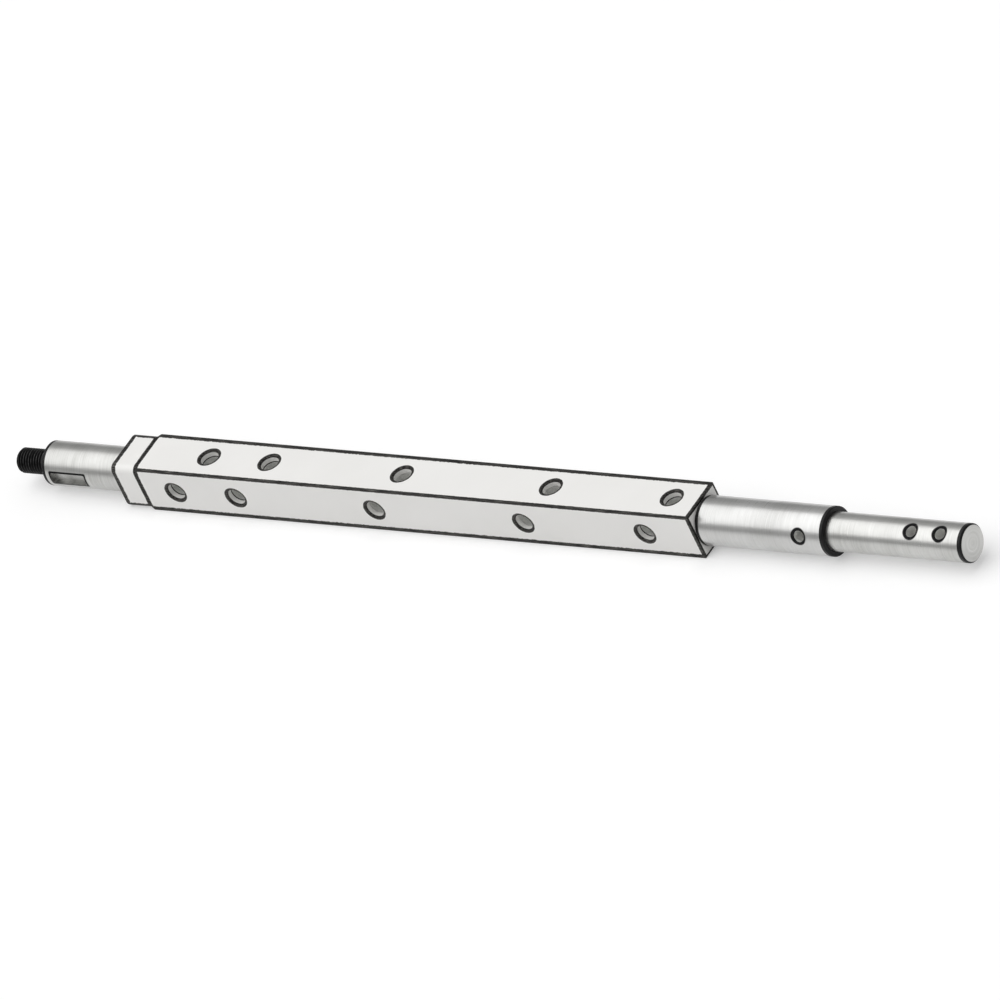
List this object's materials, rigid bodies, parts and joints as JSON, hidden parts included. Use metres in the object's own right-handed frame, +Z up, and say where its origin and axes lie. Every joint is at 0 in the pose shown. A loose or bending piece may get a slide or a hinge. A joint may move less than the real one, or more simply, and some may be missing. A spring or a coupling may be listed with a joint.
{
  "type": "spreader beam",
  "caption": "Hollow square spreader beam with staggered bolt holes and sliding end pieces: a keyed journal with a threaded stud, and a sleeved round spigot with pin holes.",
  "frame": {"origin": "centre of the overall length on the beam's underside, at the bottom of the overall box", "axes": "+X along the beam from the threaded drive end to the outboard end, -Y the front with the keyway, +Z up"},
  "size_m": [1.0966, 0.05, 0.05],
  "materials": {
    "beam_paint": "white satin paint on steel",
    "collar_paint": "white satin paint on steel",
    "bolt_sleeve_tube": "plain drawn tube",
    "turned_journal": "fine turned and milled",
    "bright_bar": "bright bar, fine turned",
    "ground_sleeve": "ground",
    "black_oxide": "black oxide"
  },
  "bodies": {
    "beam": {"beam_tube": "beam_paint", "top_bolt_sleeve_1": "bolt_sleeve_tube", "top_bolt_sleeve_2": "bolt_sleeve_tube", "front_bolt_sleeve_1": "bolt_sleeve_tube", "front_bolt_sleeve_2": "bolt_sleeve_tube"},
    "drive_end": {"drive_stub": "turned_journal", "square_collar": "collar_paint", "threaded_stud": "black_oxide"},
    "outboard_end": {"outboard_stub": "bright_bar", "bearing_sleeve": "ground_sleeve"}
  },
  "joints": [
    {"name": "drive_end_slide", "type": "slide", "parent": "beam", "child": "drive_end", "axis": [-1, 0, 0], "range_m": [0, 0.07]},
    {"name": "outboard_end_slide", "type": "slide", "parent": "beam", "child": "outboard_end", "axis": [1, 0, 0], "range_m": [0, 0.07]}
  ]
}
